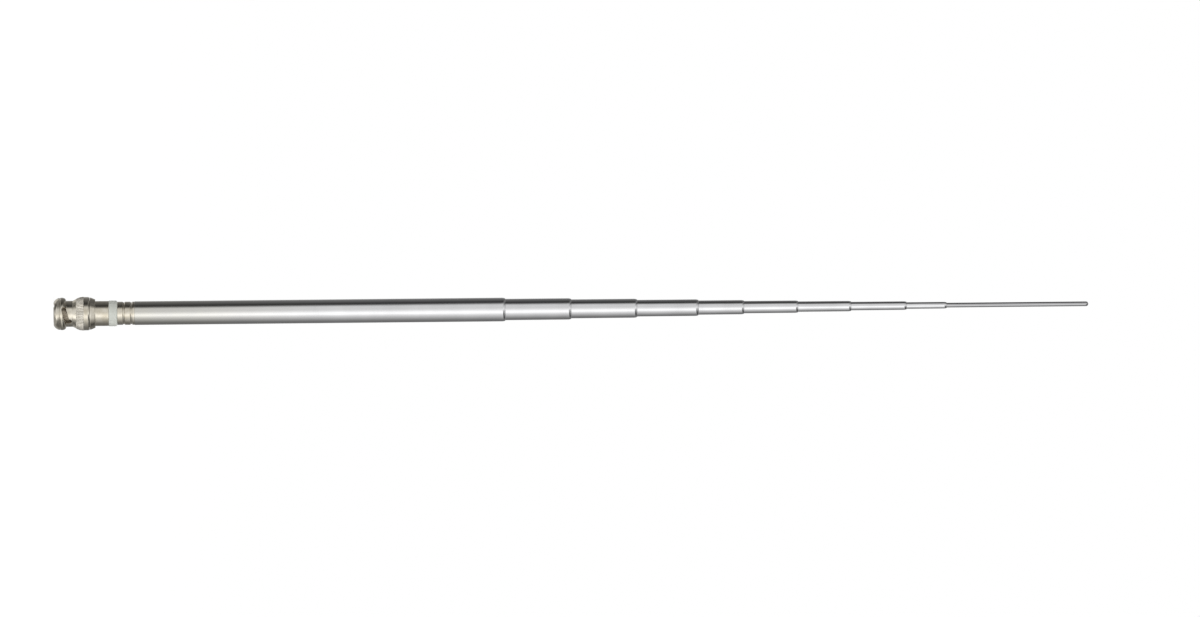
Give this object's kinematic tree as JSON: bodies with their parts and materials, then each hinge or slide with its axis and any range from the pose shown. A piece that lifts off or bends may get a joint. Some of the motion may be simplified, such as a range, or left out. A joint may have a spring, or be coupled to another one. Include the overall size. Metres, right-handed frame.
{
  "type": "telescopic antenna",
  "caption": "Telescopic whip antenna of nested chromed tubes on a bayonet coaxial plug with a knurled coupling ring and a white insulator; sections slide in and out and the ring turns.",
  "frame": {"origin": "on the axis, where the wall of the plug's slotted outer contact starts, just behind its bevelled front edge", "axes": "+Z along the rod from the plug to the tip; the bayonet slots are half a turn apart about it"},
  "size_m": [0.0142, 0.0142, 0.4364],
  "materials": {
    "chrome_plate": "bright chrome plate on drawn brass tube",
    "nickel_plate": "warm bright nickel plate on turned brass",
    "silver_plate": "tarnished silver plate on turned brass",
    "insulator_white": "milky moulded plastic",
    "dielectric_white": "turned white fluoropolymer",
    "pin_gold": "thin gold plate",
    "gasket_rubber": "moulded silicone rubber",
    "spring_steel": "rolled spring steel",
    "spring_bronze": "rolled bronze strip",
    "plain_brass": "turned brass"
  },
  "bodies": {
    "base": {"outer_contact": "silver_plate", "dielectric": "dielectric_white", "centre_pin": "pin_gold", "gasket": "gasket_rubber", "plug_body": "nickel_plate", "wave_washer": "spring_steel", "thrust_washer": "nickel_plate", "rear_housing": "nickel_plate", "insulator_bush": "insulator_white", "stud_nut": "plain_brass", "base_adapter": "nickel_plate", "tube_1": "chrome_plate"},
    "coupling": {"coupling_ring": "nickel_plate", "retaining_clip": "spring_steel"},
    "section_2": {"tube_2": "chrome_plate", "friction_sleeve_2": "spring_bronze", "stop_collar_2": "plain_brass"},
    "section_3": {"tube_3": "chrome_plate", "friction_sleeve_3": "spring_bronze", "stop_collar_3": "plain_brass"},
    "section_4": {"tube_4": "chrome_plate", "friction_sleeve_4": "spring_bronze", "stop_collar_4": "plain_brass"},
    "section_5": {"tube_5": "chrome_plate", "friction_sleeve_5": "spring_bronze", "stop_collar_5": "plain_brass"},
    "section_6": {"tube_6": "chrome_plate", "friction_sleeve_6": "spring_bronze", "stop_collar_6": "plain_brass"},
    "section_7": {"tube_7": "chrome_plate", "friction_sleeve_7": "spring_bronze", "stop_collar_7": "plain_brass"},
    "section_8": {"tube_8": "chrome_plate", "friction_sleeve_8": "spring_bronze", "stop_collar_8": "plain_brass"},
    "section_9": {"tube_9": "chrome_plate", "friction_sleeve_9": "spring_bronze", "stop_collar_9": "plain_brass"},
    "section_10": {"tip_rod": "chrome_plate", "friction_sleeve_10": "spring_bronze", "stop_collar_10": "plain_brass"}
  },
  "joints": [
    {"name": "coupling_turn", "type": "hinge", "parent": "base", "child": "coupling", "pos_m": [0, 0, 0], "axis": [0, 0, 1], "continuous": true},
    {"name": "section_2_slide", "type": "slide", "parent": "base", "child": "section_2", "axis": [0, 0, 1], "range_m": [-0.0258, 0.1134]},
    {"name": "section_3_slide", "type": "slide", "parent": "section_2", "child": "section_3", "axis": [0, 0, 1], "range_m": [-0.0258, 0.1154]},
    {"name": "section_4_slide", "type": "slide", "parent": "section_3", "child": "section_4", "axis": [0, 0, 1], "range_m": [-0.0239, 0.1193]},
    {"name": "section_5_slide", "type": "slide", "parent": "section_4", "child": "section_5", "axis": [0, 0, 1], "range_m": [-0.0172, 0.128]},
    {"name": "section_6_slide", "type": "slide", "parent": "section_5", "child": "section_6", "axis": [0, 0, 1], "range_m": [-0.0208, 0.1264]},
    {"name": "section_7_slide", "type": "slide", "parent": "section_6", "child": "section_7", "axis": [0, 0, 1], "range_m": [-0.0204, 0.1288]},
    {"name": "section_8_slide", "type": "slide", "parent": "section_7", "child": "section_8", "axis": [0, 0, 1], "range_m": [-0.0214, 0.1298]},
    {"name": "section_9_slide", "type": "slide", "parent": "section_8", "child": "section_9", "axis": [0, 0, 1], "range_m": [-0.0149, 0.1383]},
    {"name": "section_10_slide", "type": "slide", "parent": "section_9", "child": "section_10", "axis": [0, 0, 1], "range_m": [-0.0517, 0.1035]}
  ]
}
